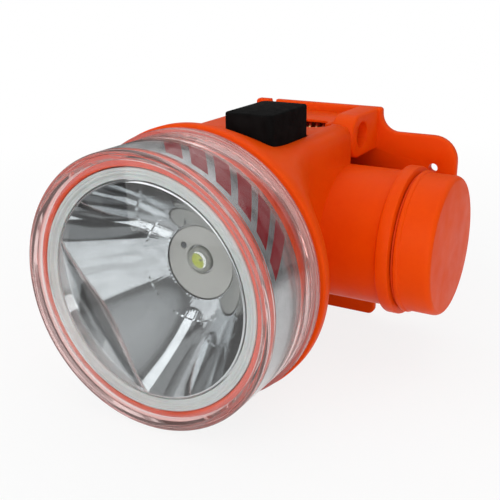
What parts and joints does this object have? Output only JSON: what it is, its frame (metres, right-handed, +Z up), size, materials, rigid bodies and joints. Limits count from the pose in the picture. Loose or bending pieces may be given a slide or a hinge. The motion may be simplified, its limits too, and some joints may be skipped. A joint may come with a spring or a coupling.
{
  "type": "cap_lamp",
  "caption": "Miner's cap lamp with a screw-on clear cap over a deep reflector, a battery barrel across its rear, a push button on top and a tilting mounting bracket",
  "frame": {"origin": "on the rear face of the mounting bracket, level with the beam's axis, at the mount rear_face", "axes": "+Y leaves the bracket's rear face toward the helmet, -Y is the way the beam shines, +X points to the battery cap, +Z is up"},
  "size_m": [0.0921, 0.096, 0.076],
  "materials": {
    "orange_abs": "smooth moulded orange plastic with a soft sheen",
    "steel": "bright steel",
    "yellow_zinc": "yellow zinc plated steel",
    "clear_polycarbonate": "clear moulded polycarbonate",
    "white_silicone": "matte white silicone",
    "silver_foil": "bright silver foil",
    "chrome_coating": "mirror bright reflector",
    "white_nylon": "matte pale grey nylon",
    "aluminium": "plain aluminium",
    "phosphor": "yellow-green phosphor in a translucent case",
    "clear_dome": "clear silicone dome",
    "black_rubber": "matte black rubber",
    "orange_rubber": "matte orange rubber",
    "black_plastic": "matte black plastic",
    "green_board": "green circuit board",
    "red_lead": "red insulated wire",
    "black_lead": "black insulated wire",
    "cell_sleeve": "blue shrink sleeve over an alloy can",
    "nickel": "nickel strip"
  },
  "bodies": {
    "bracket": {"mount_bracket": "orange_abs"},
    "lamp": {"lamp_housing": "orange_abs", "hinge_pin": "steel", "friction_washer": "yellow_zinc", "tilt_spring": "yellow_zinc", "foil_band": "silver_foil", "cap_seal_ring": "white_silicone", "reflector": "chrome_coating", "led_holder_disc": "white_nylon", "led_star_board": "aluminium", "led_emitter_base": "phosphor", "led_dome": "clear_dome", "indicator_led": "white_nylon", "heat_sink": "aluminium", "heat_sink_screw_1": "steel", "heat_sink_screw_2": "steel", "switch_body": "black_plastic", "driver_board": "green_board", "driver_capacitor": "aluminium", "driver_inductor": "black_plastic", "board_screw_1": "steel", "board_screw_2": "steel", "led_lead_red": "red_lead", "led_lead_black": "black_lead", "battery_lead_red": "red_lead", "battery_lead_black": "black_lead", "battery_cell": "cell_sleeve", "positive_strip": "nickel", "negative_strip": "nickel"},
    "gasket": {"lens_gasket": "white_silicone"},
    "clear_cap": {"lens_cap": "clear_polycarbonate"},
    "button": {"push_button": "black_rubber"},
    "cap_seal": {"battery_cap_seal": "orange_rubber"},
    "end_cap": {"battery_cap": "orange_abs", "battery_spring": "steel"}
  },
  "joints": [
    {"name": "tilt", "type": "hinge", "parent": "bracket", "child": "lamp", "pos_m": [0, -0.0153, 0.0262], "axis": [-1, 0, 0], "range_deg": [0, 60]},
    {"name": "clear_cap_advance", "type": "slide", "parent": "lamp", "child": "gasket", "axis": [0, -1, 0], "range_m": [0, 0.008]},
    {"name": "clear_cap_turn", "type": "hinge", "parent": "gasket", "child": "clear_cap", "pos_m": [0, -0.09, 0], "axis": [0, -1, 0], "range_deg": [0, 720]},
    {"name": "button_press", "type": "slide", "parent": "lamp", "child": "button", "axis": [0, 0, -1], "range_m": [0, 0.0018], "stiffness_N_per_m": 900, "springref_m": -0.001},
    {"name": "end_cap_advance", "type": "slide", "parent": "lamp", "child": "cap_seal", "axis": [1, 0, 0], "range_m": [0, 0.007]},
    {"name": "end_cap_turn", "type": "hinge", "parent": "cap_seal", "child": "end_cap", "pos_m": [0.045, -0.025, -0.0004], "axis": [1, 0, 0], "range_deg": [0, 630]}
  ],
  "couplings": [
    {"joint": "clear_cap_advance", "follows": "clear_cap_turn", "m_per_rad": 0.00063662},
    {"joint": "end_cap_advance", "follows": "end_cap_turn", "m_per_rad": 0.00063662}
  ]
}
